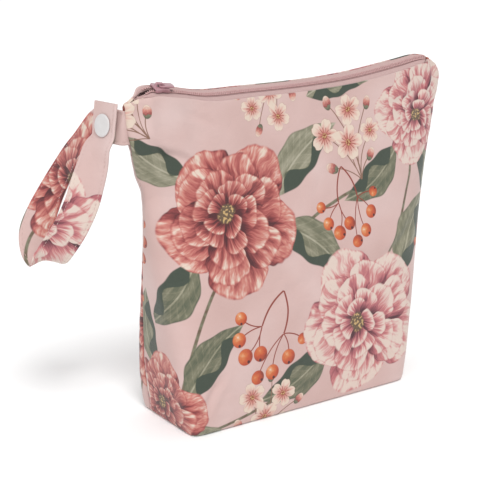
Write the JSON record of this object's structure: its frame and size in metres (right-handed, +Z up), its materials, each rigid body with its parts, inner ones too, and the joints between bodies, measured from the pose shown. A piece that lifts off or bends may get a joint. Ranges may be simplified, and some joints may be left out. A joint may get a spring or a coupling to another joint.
{
  "type": "waterproof bag",
  "caption": "Free-standing zip pouch of waterproof cloth with a boxed base, a flared curved mouth closed by a coil zipper, and a wrist strap looped through a side snap.",
  "frame": {"origin": "middle of the flat base, on the floor it stands on", "axes": "+Z up, +X along the zipper away from the strap, -Y out of the front panel"},
  "size_m": [0.2728, 0.0767, 0.1994],
  "materials": {
    "printed_cloth": "matte laminated cotton with a floral print",
    "strap_cloth": "matte folded cloth with stitched edges",
    "zipper_tape": "fine woven tape",
    "zipper_coil": "satin nylon",
    "slider_enamel": "satin enamel",
    "snap_plastic": "soft gloss"
  },
  "bodies": {
    "bag": {"front_panel": "printed_cloth", "back_panel": "printed_cloth", "strap": "strap_cloth", "zipper_tape_front": "zipper_tape", "zipper_tape_back": "zipper_tape", "zipper_coil_front": "zipper_coil", "zipper_coil_back": "zipper_coil", "slider": "slider_enamel", "snap_cap": "snap_plastic", "snap_socket": "snap_plastic", "snap_stud": "snap_plastic", "snap_back_cap": "snap_plastic"},
    "pull": {"pull_tab": "slider_enamel"}
  },
  "joints": [
    {"name": "pull_hinge", "type": "hinge", "parent": "bag", "child": "pull", "pos_m": [-0.08335, -0.00543, 0.1975], "axis": [0.0124, -0.9355, -0.353], "range_deg": [0, 160]}
  ]
}
